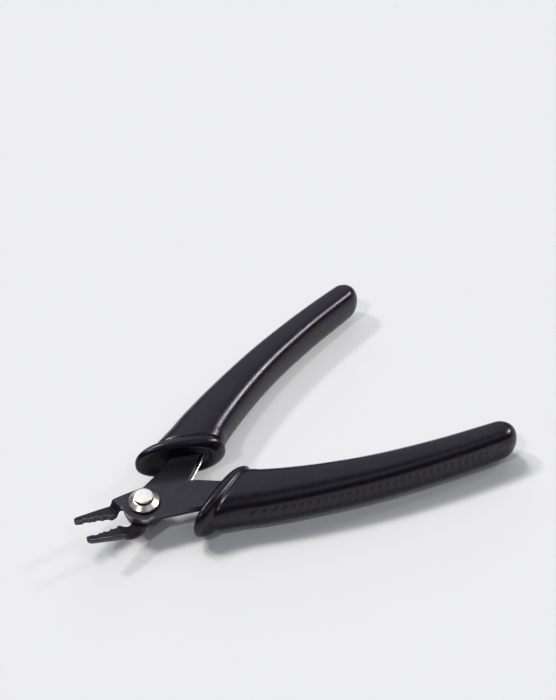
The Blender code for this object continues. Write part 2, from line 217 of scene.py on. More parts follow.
def arm_edges():
    d = math.radians(ARM_OUTER_DIR)
    n = (-math.sin(d), math.cos(d))
    foot = (n[0] * ARM_OUTER_DIST, n[1] * ARM_OUTER_DIST)
    outer = [(foot[0] + t * math.cos(d), foot[1] + t * math.sin(d)) for t in (1.0, 7.0, 14.0)]
    e = math.radians(ARM_INNER_DIR)
    inner = [(CROTCH[0] + t * math.cos(e), CROTCH[1] + t * math.sin(e)) for t in (0.0, 4.0, 9.0)]
    tang_o, tang_i = [], []
    s = 8.0
    while True:
        x, y, a, b, ang = on_line(s)
        t = math.radians(ang)
        tang_o.append((x - TANG_HALF * math.sin(t), y + TANG_HALF * math.cos(t)))
        tang_i.append((x + TANG_HALF * math.sin(t), y - TANG_HALF * math.cos(t)))
        if x > TANG_END:
            break
        s += 3.0
    return (outer + [p for p in tang_o if p[0] > 21.0],
            inner + [p for p in tang_i if p[0] > 26.5])


def fillet(pts, radius, only):
    """Rounds the corners of a closed outline whose index passes only()."""
    out = []
    n = len(pts)
    for k, p in enumerate(pts):
        if not only(p):
            out.append(p)
            continue
        a, b = Vector(pts[k - 1]), Vector(pts[(k + 1) % n])
        v = Vector(p)
        d1, d2 = (a - v), (b - v)
        r = min(radius, d1.length * 0.45, d2.length * 0.45)
        q1, q2 = v + d1.normalized() * r, v + d2.normalized() * r
        for i in range(7):
            t = i / 6
            q = q1 * (1 - t) ** 2 + v * 2 * t * (1 - t) + q2 * t ** 2
            out.append((q.x, q.y))
    return out


def lever_outline(inner_shift, head_r):
    jaw = [(-1.4, 5.1), (-3.2, 5.08), (-5.2, 5.0), (-7.0, 4.85), (-7.75, 4.68), (-8.6, 4.38),
           (-10.1, 4.0), (-12.0, 3.5), (-14.0, 2.95), (-16.0, 2.4), (-17.8, 1.92),
           (-18.6, 1.65), (-19.1, 1.32), (-19.4, 0.85), (-19.4, 0.45), (-19.1, 0.2), (-18.7, 0.16)]
    pts = [catmull(jaw, k / 4) for k in range(4 * (len(jaw) - 1) + 1)]
    r = 18.3
    while r > 6.35:
        pts.append((-r, jaw_edge(r)))
        r -= 0.1
    a = 167.0
    while a < 258.0:
        pts.append((head_r * math.cos(math.radians(a)), head_r * math.sin(math.radians(a))))
        a += 2.6
    outer, inner = arm_edges()
    if inner_shift:
        e = math.radians(ARM_INNER_DIR)
        inner = [(x - inner_shift * math.sin(e), y + inner_shift * math.cos(e)) if x < 24.0
                 else (x, y) for x, y in inner]
        inner = [(12.2, 1.3)] + inner
    arm = [rot2((x, -y), OPEN_HALF) for x, y in outer]
    arm += [rot2((x, -y), OPEN_HALF) for x, y in reversed(inner)]
    first = arm[0]
    pts += arm
    a = 12.0
    while a < 98.0:
        rr = HEAD_BACK_R + 1.4 * (1 - smooth((a - 12.0) / 45.0))
        pts.append((rr * math.cos(math.radians(a)), rr * math.sin(math.radians(a))))
        a += 3.0
    pts = fillet(pts, 1.6, lambda p: p in arm and p not in (first,) and p[0] < 40.0)
    out = []
    for p in pts:
        if not out or math.hypot(p[0] - out[-1][0], p[1] - out[-1][1]) > 0.03:
            out.append(p)
    return out


def lever_height(r, side):
    flat = side * (LAP_GAP + PLATE / 2)
    a, b = (6.0, 7.6) if side > 0 else (6.3, 9.6)
    line = JAW_LOW + JAW_RISE * (r - 7.6)
    t = smooth((r - a) / (b - a))
    return flat * (1 - t) + line * t


def lever(name, side, body, mat, inner_shift=0.0, edge=0.16):
    cu = bpy.data.curves.new(name, 'CURVE')
    cu.dimensions = '2D'
    cu.fill_mode = 'BOTH'
    cu.extrude = (PLATE / 2 - edge) * MM
    cu.bevel_depth = edge * MM
    cu.bevel_resolution = 2
    cu.offset = -edge * MM
    hole = [(BORE_R * math.cos(2 * math.pi * k / 64), BORE_R * math.sin(2 * math.pi * k / 64))
            for k in range(64)]
    for pts in (lever_outline(inner_shift, HEAD_R if side > 0 else HEAD_LOW_R), hole):
        sp = cu.splines.new('POLY')
        sp.points.add(len(pts) - 1)
        for k, (x, y) in enumerate(pts):
            sp.points[k].co = (x * MM, y * MM, 0.0, 1.0)
        sp.use_cyclic_u = True
    tmp = bpy.data.objects.new(name + "_curve", cu)
    bpy.context.scene.collection.objects.link(tmp)
    bpy.context.view_layer.update()
    dg = bpy.context.evaluated_depsgraph_get()
    me = bpy.data.meshes.new_from_object(tmp.evaluated_get(dg))
    bpy.data.objects.remove(tmp, do_unlink=True)
    bm = bmesh.new()
    bm.from_mesh(me)
    bmesh.ops.remove_doubles(bm, verts=bm.verts, dist=2e-6)
    bmesh.ops.dissolve_degenerate(bm, dist=1e-6, edges=bm.edges)
    cut = 5.8
    while cut < 19.6:
        bmesh.ops.bisect_plane(bm, geom=bm.verts[:] + bm.edges[:] + bm.faces[:], dist=1e-7,
                               plane_co=(-cut * MM, 0, 0), plane_no=(-1.0, -STEP_SKEW, 0.0))
        cut += 0.12 if cut < 9.8 else 0.9
    lay = bm.verts.layers.float.new("plate_height")
    for v in bm.verts:
        x, y, z = v.co.x / MM, v.co.y / MM, v.co.z / MM
        v[lay] = z / (PLATE / 2) * side
        r = -x - STEP_SKEW * y
        if r > 5.9 and x < 0:
            z *= 1 - (1 - JAW_TIP_THICK / PLATE) * smooth((r - 9.0) / 10.0)
        z += lever_height(r if x < 0 else 0.0, side)
        y *= 1.0 if side > 0 else -1.0
        x, y = rot2((x, y), -side * OPEN_HALF)
        v.co = (max((x + PX) * MM, cad_lo[0] + 0.00001), y * MM, (z + MID_Z) * MM)
    if side < 0:
        bmesh.ops.reverse_faces(bm, faces=bm.faces)
    bmesh.ops.recalc_face_normals(bm, faces=bm.faces)
    bm.to_mesh(me)
    bm.free()
    me.materials.clear()
    me.materials.append(mat)
    finish_mesh(me, 28)
    ob = new_object(name + "_plate", me, body, [name])
    apply_modifier(ob, 'WEIGHTED_NORMAL', keep_sharp=True, weight=80)
    return ob


# ================================================================= the grips
def ring_points(sq, n, aspect):
    """n points round a squared oval of half sizes 1 and 1/aspect, evenly spaced
    along it, starting at the outer side and turning over the top."""
    t = np.linspace(0, 2 * math.pi, 2401)
    c, s = np.cos(t), np.sin(t)
    u = np.sign(c) * np.abs(c) ** (2 / sq)
    w = np.sign(s) * np.abs(s) ** (2 / sq) * aspect
    d = np.concatenate([[0], np.cumsum(np.hypot(np.diff(u), np.diff(w)))])
    k = np.linspace(0, d[-1], n + 1)[:-1]
    return np.interp(k, d, u), np.interp(k, d, w) / aspect


def hump(x, width):
    return np.clip(1 - (x / width) ** 2, 0, 1) ** 2


def grip_surface(side):
    """Rings of the grip's outside, from the mouth rim to the tail: a list of
    (x, y, direction in degrees, half length, half height, squareness, station) in mm, in the +Y half."""
    rings = []
    put_on, out = LIP_SET[side], LIP_OUT[side]
    mx, my = math.cos(math.radians(MOUTH_DIR)) * out, math.sin(math.radians(MOUTH_DIR)) * out
    steps = 40
    for k in range(steps + 1):
        b, ha, hb, sq = catmull(LIP, (len(LIP) - 1) * k / steps)
        x, y, _, _, ang = on_line(b + put_on)
        rings.append((x + mx, y + my, MOUTH_DIR, ha + out, min(hb, 6.93), sq, b + put_on))
    s = 4.36 + put_on
    dome = 5.2
    while s < LINE_LEN - dome:
        x, y, a, b, ang = on_line(s)
        slant = (MOUTH_DIR - 90 - LINE[0][5]) * (1 - smooth((s - put_on - 2.0) / SLANT_RUN))
        ha = a / math.cos(math.radians(slant))
        # little valley behind the lip
        v = math.exp(-((s - put_on - 4.55) / 0.60) ** 2)
        ha -= 0.40 * v
        b -= 0.24 * v
        sq = 2.7 + (GRIP_EXP - 2.7) * smooth((s - 3) / 12)
        rings.append((x, y, ang + 90 + slant, ha, b, sq, s))
        s += 0.16 if s < 6.4 + put_on else 0.275
    x0, y0, a0, b0, _ = on_line(LINE_LEN - dome)
    for k in range(0, 22):
        t = math.radians(89.0 * k / 21)
        f = (1 - math.sin(t) ** 2.3) ** (1 / 2.3)
        xx, yy, _, _, ang = on_line(LINE_LEN - dome * (1 - math.sin(t)))
        rings.append((xx, yy, ang + 90, a0 * f, b0 * (0.12 + 0.88 * f),
                      GRIP_EXP - 0.9 * math.sin(t), LINE_LEN - dome * (1 - math.sin(t))))
    return rings


def grip(name, side, body, mat, n=144):
    flip = -1.0 if side > 0 else 1.0
    rings = grip_surface(side)
    put_on = LIP_SET[side]
    co, sta = [], []

    def inner_ring(x, y, ang, ha, hb, sq, zc, off=0.0):
        u, w = ring_points(sq, n, ha / hb)
        d = math.radians(ang)
        px = x + math.cos(d) * (u * ha + off)
        py = y + math.sin(d) * (u * ha + off)
        return np.stack([px, py, w * hb + zc], 1)

    # pocket round the tang, from its blind end out to the mouth
    zc = side * (LAP_GAP + PLATE / 2)
    stations = [s for s in np.linspace(0.0, 1.0, 30)]
    x_end = 0.0
    s_end = float(np.interp(TANG_END + 3.9, LINE[:, 1], LINE[:, 0]))
    for t in stations:
        s = s_end + (11.6 - s_end) * t
        x, y, a, b, ang = on_line(s)
        co.append(inner_ring(x, y, ang + 90, TANG_HALF + 0.38, PLATE / 2 + 0.34, 9.0, zc))
        sta.append(s)
    # slot for the arm and the end of the spring, out to the face of the mouth
    lean = MOUTH_DIR - 90 - LINE[0][5]
    z_slot, h_slot = (-1.25, 1.62) if side < 0 else (0.68, 2.20)
    for k in range(0, 13):
        t = k / 12
        e = smooth(t)
        s = 11.2 + (put_on + 1.95 - 11.2) * t
        x, y, a, b, ang = on_line(s)
        co.append(inner_ring(x, y, ang + 90 + lean * smooth(t * 1.25), 3.58 + 2.0 * e,
                             1.49 + (h_slot - 1.49) * e, 6.0, zc + (z_slot - zc) * e, -2.1 * e))
        sta.append(s)
    n_slot = len(co)
    # shallow dish of the mouth's face
    for back, ha, hb, sq, off, zf in ((1.72, 5.72, h_slot + 0.12, 5.0, -2.05, 1.0), (1.64, 6.10, 2.55, 3.6, -1.7, 0.8),
                                      (1.62, 6.80, 3.05, 3.0, -1.1, 0.5), (1.58, 7.55, 3.60, 2.7, -0.5, 0.2)):
        x, y, a, b, ang = on_line(back + put_on)
        co.append(inner_ring(x, y, MOUTH_DIR, ha, hb, sq, z_slot * zf, off))
        sta.append(back + put_on)
    n_in = len(co)
    for x, y, ang, ha, hb, sq, s in rings:
        u, w = ring_points(sq, n, ha / hb)
        px, pz = u * (ha - 0.08), w * (hb - 0.01)
        # normals of the section
        tx = np.roll(px, -1) - np.roll(px, 1)
        tz = np.roll(pz, -1) - np.roll(pz, 1)
        ln = np.hypot(tx, tz) + 1e-9
        nx, nz = tz / ln, -tx / ln
        flipn = np.sign((nx * px + nz * pz).sum())
        nx, nz = nx * flipn, nz * flipn
        disp = np.zeros(n)
        outer = px > 0
        body_in = smooth((s - put_on - 6.5) / 5.0) * (1 - smooth((s - (LINE_LEN - 10.0)) / 6.0))
        side_face = np.clip((np.abs(nx) - 0.55) / 0.3, 0, 1)
        # sunk side panel on the palm side, above the mould line
        panel = np.clip((4.3 - pz) / 1.9, 0, 1) * np.clip((pz + 2.25) / 0.22, 0, 1)
        panel = panel * panel * (3 - 2 * panel)
        disp -= np.where(outer, 0.20 * panel * body_in * side_face, 0.0)
        # moulded grip marks in two staggered rows
        band = smooth((s - put_on - 9.5) / 1.5) * (1 - smooth((s - 78.0) / 3.0))
        if band > 0:
            for row_z, phase in ((1.85, 0.0), (-0.75, 0.5)):
                u_s = ((s / 2.2 + phase) % 1.0 - 0.5) * 2.2
                lump = hump(np.full(n, u_s) - (pz - row_z) * 0.35, 0.80) * hump(pz - row_z, 1.30)
                disp += np.where(outer, 0.32 * lump * band * side_face, 0.0)
        # mould line along the body and the lip
        disp += np.where(outer, 0.07 * np.exp(-((pz + 2.45) / 0.16) ** 2) * side_face * body_in, 0.0)
        disp += np.where(~outer, 0.07 * np.exp(-(pz / 0.16) ** 2) * side_face * body_in, 0.0)
        # second faint line under the thumb side's corner
        disp -= np.where(~outer, 0.06 * np.exp(-((pz + 3.3) / 0.22) ** 2) * side_face * body_in, 0.0)
        px = px + nx * disp
        pz = pz + nz * disp
        d = math.radians(ang)
        co.append(np.stack([x + math.cos(d) * px, y + math.sin(d) * px, pz], 1))
        sta.append(s)
    n_rings = len(co)
    pts = np.concatenate(co)
    pts[:, 1] *= flip
    tip_in = co[0].mean(0) * np.array([1, flip, 1])
    tip_out = co[-1].mean(0) * np.array([1, flip, 1])
    allp = np.concatenate([pts, tip_in[None], tip_out[None]])
    allp[:, 0] += PX
    allp[:, 2] += MID_Z
    faces = []
    for k in range(n_rings - 1):
        a0, b0 = k * n, (k + 1) * n
        for i in range(n):
            j = (i + 1) % n
            faces.append((a0 + i, a0 + j, b0 + j, b0 + i))
    c_in, c_out = n_rings * n, n_rings * n + 1
    for i in range(n):
        j = (i + 1) % n
        faces.append((c_in, j, i))
        b0 = (n_rings - 1) * n
        faces.append((c_out, b0 + i, b0 + j))
    me = bpy.data.meshes.new(name)
    me.from_pydata((allp * MM).tolist(), [], faces)
    bm = bmesh.new()
    bm.from_mesh(me)
    bmesh.ops.recalc_face_normals(bm, faces=bm.faces)
    bm.to_mesh(me)
    bm.free()
    # 1 inside the mouth and pocket, 0 on the outside; it darkens the vinyl there as painted shade
    at = me.attributes.new("inside", 'FLOAT', 'POINT')
    inside = [1.0] * n_slot + [0.85] * (n_in - n_slot)
    inside += [0.85 * max(0.0, 1.0 - k / 9.0) for k in range(n_rings - n_in)]
    vals = np.repeat(np.array(inside), n).tolist() + [1.0, 0.0]
    at.data.foreach_set("value", np.array(vals, np.float32))
    me.materials.append(mat)
    finish_mesh(me, 75)
    return new_object(name + "_moulding", me, body, [name])


# ========================================================== the turned pieces
def turned(name, profile, nodes, body, mat, steps=128, round_by=0.0):
    """profile (radius, z above the mid-plane) in mm."""
    if round_by:
        prof = []
        m = len(profile)
        for k, p in enumerate(profile):
            closed = profile[0][0] > 0
            if not closed and k in (0, m - 1):
                prof.append(p)
                continue
            v = Vector(p)
            d1 = Vector(profile[k - 1]) - v
            d2 = Vector(profile[(k + 1) % m]) - v
            r = min(round_by, d1.length * 0.4, d2.length * 0.4)
            q1, q2 = v + d1.normalized() * r, v + d2.normalized() * r
            for i in range(5):
                t = i / 4
                q = q1 * (1 - t) ** 2 + v * 2 * t * (1 - t) + q2 * t ** 2
                prof.append((q.x, q.y))
        profile = prof
    closed = profile[0][0] > 1e-6
    verts, faces = [], []
    m = len(profile)
    index = []
    for k, (r, z) in enumerate(profile):
        if r < 1e-6:
            index.append([len(verts)] * steps)
            verts.append((PX, PY, z + MID_Z))
        else:
            index.append(list(range(len(verts), len(verts) + steps)))
            for i in range(steps):
                t = 2 * math.pi * i / steps
                verts.append((PX + r * math.cos(t), PY + r * math.sin(t), z + MID_Z))
    pairs = list(range(m - 1)) + ([m - 1] if closed else [])
    for k in pairs:
        a, b = index[k], index[(k + 1) % m]
        for i in range(steps):
            j = (i + 1) % steps
            f = [a[i], a[j], b[j], b[i]]
            g = []
            for v in f:
                if v not in g:
                    g.append(v)
            if len(g) > 2:
                faces.append(g)
    me = bpy.data.meshes.new(name)
    me.from_pydata([tuple(c * MM for c in v) for v in verts], [], faces)
    bm = bmesh.new()
    bm.from_mesh(me)
    bmesh.ops.recalc_face_normals(bm, faces=bm.faces)
    bm.to_mesh(me)
    bm.free()
    me.materials.append(mat)
    finish_mesh(me, 35)
    return new_object(name, me, body, nodes)


# ================================================================= materials
class Graph:
    def __init__(self, name):
        self.mat = bpy.data.materials.new(name)
        self.mat.use_nodes = True
        self.nt = self.mat.node_tree
        self.bsdf = self.nt.nodes["Principled BSDF"]

    def node(self, kind, **inputs):
        nd = self.nt.nodes.new(kind)
        return nd

    def link(self, a, b):
        self.nt.links.new(a, b)

    def coords(self, scale=1.0):
        tc = self.nt.nodes.new("ShaderNodeTexCoord")
        mp = self.nt.nodes.new("ShaderNodeMapping")
        mp.inputs["Scale"].default_value = (scale, scale, scale) if not isinstance(scale, tuple) else scale
        self.link(tc.outputs["Object"], mp.inputs["Vector"])
        return mp.outputs["Vector"]

    def noise(self, vec, scale, detail=3.0, rough=0.5):
        n = self.nt.nodes.new("ShaderNodeTexNoise")
        n.inputs["Scale"].default_value = scale
        n.inputs["Detail"].default_value = detail
        n.inputs["Roughness"].default_value = rough
        self.link(vec, n.inputs["Vector"])
        return n.outputs["Fac"]

    def ramp(self, fac, stops, interp='LINEAR'):
        r = self.nt.nodes.new("ShaderNodeValToRGB")
        r.color_ramp.interpolation = interp
        els = r.color_ramp.elements
        while len(els) < len(stops):
            els.new(0.5)
        for e, (p, c) in zip(els, stops):
            e.position = p
            e.color = (*c, 1.0) if len(c) == 3 else c
        self.link(fac, r.inputs["Fac"])
        return r.outputs["Color"]

    def map_range(self, val, a, b, c, d, kind='LINEAR'):
        m = self.nt.nodes.new("ShaderNodeMapRange")
        m.interpolation_type = kind
        for k, v in zip(("From Min", "From Max", "To Min", "To Max"), (a, b, c, d)):
            m.inputs[k].default_value = v
        self.link(val, m.inputs["Value"])
        return m.outputs["Result"]

    def math(self, op, a, b=None):
        m = self.nt.nodes.new("ShaderNodeMath")
        m.operation = op
        for i, v in enumerate((a, b)):
            if v is None:
                continue
            if isinstance(v, (int, float)):
                m.inputs[i].default_value = v
            else:
                self.link(v, m.inputs[i])
        return m.outputs[0]

    def mix(self, fac, a, b):
        m = self.nt.nodes.new("ShaderNodeMix")
        m.data_type = 'RGBA'
        if isinstance(fac, (int, float)):
            m.inputs[0].default_value = fac
        else:
            self.link(fac, m.inputs[0])
        for i, v in ((6, a), (7, b)):
            if isinstance(v, tuple):
                m.inputs[i].default_value = (*v, 1.0) if len(v) == 3 else v
            else:
                self.link(v, m.inputs[i])
        return m.outputs[2]

    def attribute(self, name):
        a = self.nt.nodes.new("ShaderNodeAttribute")
        a.attribute_name = name
        return a.outputs["Fac"]

    def bump(self, height, strength, distance, normal=None):
        b = self.nt.nodes.new("ShaderNodeBump")
        b.inputs["Strength"].default_value = strength
        b.inputs["Distance"].default_value = distance
        self.link(height, b.inputs["Height"])
        if normal is not None:
            self.link(normal, b.inputs["Normal"])
        return b.outputs["Normal"]

    def normal_z(self):
        g = self.nt.nodes.new("ShaderNodeNewGeometry")
        s = self.nt.nodes.new("ShaderNodeSeparateXYZ")
        self.link(g.outputs["True Normal"], s.inputs["Vector"])
        return s.outputs["Z"]

    def set(self, key, value):
        sock = self.bsdf.inputs[key]
        if hasattr(value, "links") or isinstance(value, bpy.types.NodeSocket):
            self.link(value, sock)
        else:
            sock.default_value = value


def mouth_depth(g, side):
    """Distance of a point beyond the plane of the grip's mouth, in metres."""
    x, y, _, _, _ = on_line(LIP_SET[side])
    d = math.radians(MOUTH_DIR - 90)
    flip = -1.0 if side > 0 else 1.0
    n = (math.cos(d), math.sin(d) * flip, 0.0)
    c = ((x + PX) * MM, y * flip * MM)
    tc = g.nt.nodes.new("ShaderNodeTexCoord")
    dot = g.nt.nodes.new("ShaderNodeVectorMath")
    dot.operation = 'DOT_PRODUCT'
    dot.inputs[1].default_value = n
    g.link(tc.outputs["Object"], dot.inputs[0])
    return g.math('SUBTRACT', dot.outputs["Value"], n[0] * c[0] + n[1] * c[1])


def step_distance(g, side):
    """Distance ahead of the pivot across the lever's step line, in metres."""
    d = rot2((-1.0, -STEP_SKEW * side), -side * OPEN_HALF)
    tc = g.nt.nodes.new("ShaderNodeTexCoord")
    dot = g.nt.nodes.new("ShaderNodeVectorMath")
    dot.operation = 'DOT_PRODUCT'
    dot.inputs[1].default_value = (d[0], d[1], 0.0)
    g.link(tc.outputs["Object"], dot.inputs[0])
    return g.math('SUBTRACT', dot.outputs["Value"], (PX * d[0] + PY * d[1]) * MM)


def blade_material(name, side):
    g = Graph(name)
    v = g.coords()
    grain = g.noise(v, 5200.0, 4.0, 0.62)
    cloud = g.noise(v, 260.0, 3.0, 0.5)
    face = g.ramp(cloud, [(0.30, (0.0150, 0.0135, 0.0200)), (0.52, (0.0200, 0.0180, 0.0265)),
                          (0.72, (0.0265, 0.0240, 0.0350))])
    face = g.mix(g.map_range(grain, 0.35, 0.75, 0.0, 0.50), face, (0.040, 0.036, 0.049))
    # sheared edge: a bright burnished band by one face, rougher below it
    hgt = g.attribute("plate_height")
    level = g.math('ABSOLUTE', hgt)
    wall = g.map_range(level, 0.84, 0.90, 1.0, 0.0)
    burnish = g.map_range(hgt, -0.20, 0.05, 0.0, 1.0, 'SMOOTHSTEP')
    drag = g.noise(g.coords((1.0, 1.0, 0.12)), 3400.0, 3.0, 0.7)
    r = step_distance(g, side)
    away = g.nt.nodes.new("ShaderNodeVectorMath")
    away.operation = 'DISTANCE'
    away.inputs[1].default_value = (PX * MM, PY * MM, 0.0)
    flat = g.nt.nodes.new("ShaderNodeVectorMath")
    flat.operation = 'MULTIPLY'
    flat.inputs[1].default_value = (1.0, 1.0, 0.0)
    g.link(g.nt.nodes.new("ShaderNodeTexCoord").outputs["Object"], flat.inputs[0])
    g.link(flat.outputs[0], away.inputs[0])
    bare = g.math('MULTIPLY', g.map_range(away.outputs["Value"], 0.0060, 0.0068, 1.0, 0.0, 'SMOOTHSTEP'),
                  g.map_range(r, 0.0004, 0.0014, 0.0, 1.0, 'SMOOTHSTEP'))
    cut = g.mix(burnish, (0.026, 0.022, 0.028), (0.085, 0.080, 0.092))
    bright = g.mix(burnish, (0.060, 0.052, 0.058), (0.34, 0.33, 0.38))
    cut = g.mix(bare, cut, bright)
    cut = g.mix(g.map_range(drag, 0.4, 0.7, 0.0, 0.5), cut, (0.10, 0.09, 0.105))
    col = g.mix(wall, face, cut)
    shine = g.math('MULTIPLY', g.math('MULTIPLY', wall, burnish), g.map_range(bare, 0.0, 1.0, 0.35, 1.0))
    # rubbed corners, lightened also as a painted highlight along the plate edges
    edge_wear_and_highlight = g.math('MULTIPLY', g.map_range(level, 0.80, 0.88, 0.0, 1.0), g.map_range(level, 0.95, 1.0, 1.0, 0.0))
    edge_wear_and_highlight = g.math('MULTIPLY', edge_wear_and_highlight, g.map_range(cloud, 0.38, 0.62, 0.25, 0.95))
    edge_wear_and_highlight = g.math('MULTIPLY', edge_wear_and_highlight, g.map_range(r, 0.0020, 0.0070, 0.30, 1.0))
    col = g.mix(edge_wear_and_highlight, col, (0.20, 0.195, 0.215))
    # painted shade: darker colour in the step behind the jaw, which is also rougher there
    lo, hi = (0.0061, 0.0080) if side > 0 else (0.0040, 0.0088)
    step_shade = g.math('MULTIPLY', g.map_range(r, lo - 0.0003, lo + 0.0003, 0.0, 1.0, 'SMOOTHSTEP'),
                  g.map_range(r, hi - 0.0010, hi + 0.0006, 1.0, 0.0, 'SMOOTHSTEP'))
    step_shade = g.math('MULTIPLY', step_shade, g.map_range(r, 0.0, 0.0095, 1.0, 0.85))
    step_shade = g.math('MULTIPLY', step_shade, g.map_range(cloud, 0.30, 0.70, 1.0, 0.80))
    step_shade = g.math('MULTIPLY', step_shade, g.map_range(shine, 0.0, 1.0, 1.0, 0.35))
    col = g.mix(step_shade, col, (0.0060, 0.0042, 0.0058))
    # painted shade: the arm darkens inside the mouth of the grip, and is rougher there
    mouth_shade = g.map_range(mouth_depth(g, side), -0.0002, 0.0012, 0.0, 1.0, 'SMOOTHSTEP')
    col = g.mix(mouth_shade, col, (0.0035, 0.0030, 0.0040))
    rough = g.map_range(grain, 0.3, 0.75, 0.38, 0.56)
    if side < 0:
        # painted shadow of the grip's lip on this arm in front of the mouth; smoother there too
        lip_shadow = g.map_range(mouth_depth(g, side), -0.0082, -0.0056, 0.0, 1.0, 'SMOOTHSTEP')
        col = g.mix(g.math('MULTIPLY', lip_shadow, 0.72), col, (0.0045, 0.0040, 0.0052))
        rough = g.math('SUBTRACT', rough, g.math('MULTIPLY', lip_shadow, 0.14))
    g.set("Base Color", col)
    rough = g.math('ADD', rough, g.math('MULTIPLY', mouth_shade, 0.35))
    rough = g.math('SUBTRACT', rough, g.math('MULTIPLY', shine, 0.16))
    rough = g.math('ADD', rough, g.math('MULTIPLY', step_shade, 0.25))
    g.set("Roughness", rough)
    g.set("Metallic", g.map_range(shine, 0.0, 1.0, 0.55, 0.95))
    g.bsdf.inputs["Specular IOR Level"].default_value = 0.35
    n1 = g.bump(grain, 0.35, 0.00004)
    n2 = g.bump(drag, 0.12, 0.00003, n1)
    g.set("Normal", n2)
    return g.mat


def grip_material(name):
    g = Graph(name)
    v = g.coords()
    cloud = g.noise(v, 120.0, 2.0, 0.5)
    fine = g.noise(v, 3600.0, 3.0, 0.55)
    soft = g.noise(v, 520.0, 2.0, 0.5)
    inside = g.attribute("inside")
    col = g.ramp(cloud, [(0.30, (0.0050, 0.0042, 0.0066)), (0.70, (0.0080, 0.0068, 0.0100))])
    # painted shade: darker colour inside the mouth and pocket
    col = g.mix(inside, col, (0.0022, 0.0018, 0.0024))
    g.set("Base Color", col)
    rough = g.map_range(fine, 0.3, 0.75, 0.23, 0.33)
    rough = g.math('ADD', rough, g.map_range(soft, 0.35, 0.7, -0.02, 0.04))
    rough = g.math('ADD', rough, g.math('MULTIPLY', inside, 0.35))
    g.set("Roughness", rough)
    g.bsdf.inputs["Metallic"].default_value = 0.0
    g.bsdf.inputs["Specular IOR Level"].default_value = 0.36
    g.bsdf.inputs["Specular Tint"].default_value = (0.90, 0.84, 1.0, 1.0)
    n1 = g.bump(fine, 0.16, 0.00004)
    n2 = g.bump(soft, 0.10, 0.00010, n1)
    g.set("Normal", n2)
    return g.mat


def nickel_material(name, tint, rough_lo, rough_hi, ring=9000.0, stain=0.25, neck=None):
    g = Graph(name)
    tc = g.nt.nodes.new("ShaderNodeTexCoord")
    sub = g.nt.nodes.new("ShaderNodeVectorMath")
    sub.operation = 'SUBTRACT'
    sub.inputs[1].default_value = (PX * MM, PY * MM, 0.0)
    g.link(tc.outputs["Object"], sub.inputs[0])
    sep = g.nt.nodes.new("ShaderNodeSeparateXYZ")
    g.link(sub.outputs[0], sep.inputs[0])
    rad = g.math('SQRT', g.math('ADD', g.math('POWER', sep.outputs[0], 2.0),
                                g.math('POWER', sep.outputs[1], 2.0)))
    comb = g.nt.nodes.new("ShaderNodeCombineXYZ")
    g.link(rad, comb.inputs[0])
    g.link(g.math('MULTIPLY', sep.outputs[2], 0.6), comb.inputs[1])
    lathe = g.noise(comb.outputs[0], ring, 2.0, 0.6)
    spots = g.noise(g.coords(), 900.0, 4.0, 0.6)
    light = tuple(min(1.0, c * 1.08) for c in tint)
    dark = tuple(c * (1 - stain) for c in tint)
    col = g.ramp(spots, [(0.25, dark), (0.5, tint), (0.75, light)])
    if neck:
        # painted shade under the head and on the shank
        away = g.math('ABSOLUTE', g.math('SUBTRACT', sep.outputs[2], MID_Z * MM))
        col = g.mix(g.map_range(away, neck - 0.00010, neck + 0.00002, 1.0, 0.0), col, (0.045, 0.032, 0.022))
    g.set("Base Color", col)
    g.bsdf.inputs["Metallic"].default_value = 1.0
    g.set("Roughness", g.map_range(spots, 0.3, 0.75, rough_lo, rough_hi))
    n1 = g.bump(lathe, 0.22, 0.00002)
    g.set("Normal", g.bump(spots, 0.05, 0.00004, n1))
    return g.mat


def wire_material(name):
    g = Graph(name)
    v = g.coords()
    n = g.noise(v, 2600.0, 3.0, 0.6)
    g.set("Base Color", g.ramp(n, [(0.35, (0.62, 0.62, 0.62)), (0.65, (0.86, 0.86, 0.87))]))
    g.bsdf.inputs["Metallic"].default_value = 1.0
    g.set("Roughness", g.map_range(n, 0.3, 0.7, 0.16, 0.30))
    g.set("Normal", g.bump(n, 0.04, 0.00001))
    return g.mat


M_UPPER = blade_material("black_oxide_upper", +1)
M_LOWER = blade_material("black_oxide_lower", -1)
M_NEAR = grip_material("black_vinyl_near")
M_FAR = grip_material("black_vinyl_far")
M_DISC = nickel_material("nickel_rivet", (0.74, 0.72, 0.64), 0.30, 0.38, stain=0.06, neck=0.00506)
M_CONE = nickel_material("nickel_collar_upper", (0.62, 0.58, 0.53), 0.27, 0.36, stain=0.14)
M_CONE2 = nickel_material("nickel_collar_lower", (0.62, 0.58, 0.53), 0.27, 0.36, stain=0.14)
M_WIRE = wire_material("spring_wire")

# ================================================================ the pieces
lever("upper_blade", +1, UPPER, M_UPPER)
lever("lower_blade", -1, LOWER, M_LOWER, inner_shift=1.05)
grip("far_grip", -1, LOWER, M_FAR)
grip("near_grip", +1, UPPER, M_NEAR)

rivet_profile = [(0, 5.40), (2.30, 5.40), (2.54, 5.32), (DISC_R, 5.18), (DISC_R, 5.00),
                 (2.42, 4.82), (PIN_R, 4.64), (PIN_R, -4.64), (2.42, -4.82), (DISC_R, -5.00),
                 (DISC_R, -5.18), (2.54, -5.32), (2.30, -5.40), (0, -5.40)]
turned("pivot_rivet_turned", rivet_profile, ["pivot_rivet"], LOWER, M_DISC, round_by=0.06)
cone = [(BORE_R + 0.06, 4.32), (2.75, 4.32), (2.95, 4.22), (CONE_R, RIM), (CONE_R, FACE + 0.55),
        (CONE_R - 0.3, FACE + 0.25), (BORE_R + 0.06, FACE + 0.25)]
turned("upper_collar_turned", cone, ["upper_collar"], LOWER, M_CONE, round_by=0.08)
turned("lower_collar_turned", [(r, -z) for r, z in reversed(cone)], ["lower_collar"], LOWER,
       M_CONE2, round_by=0.08)


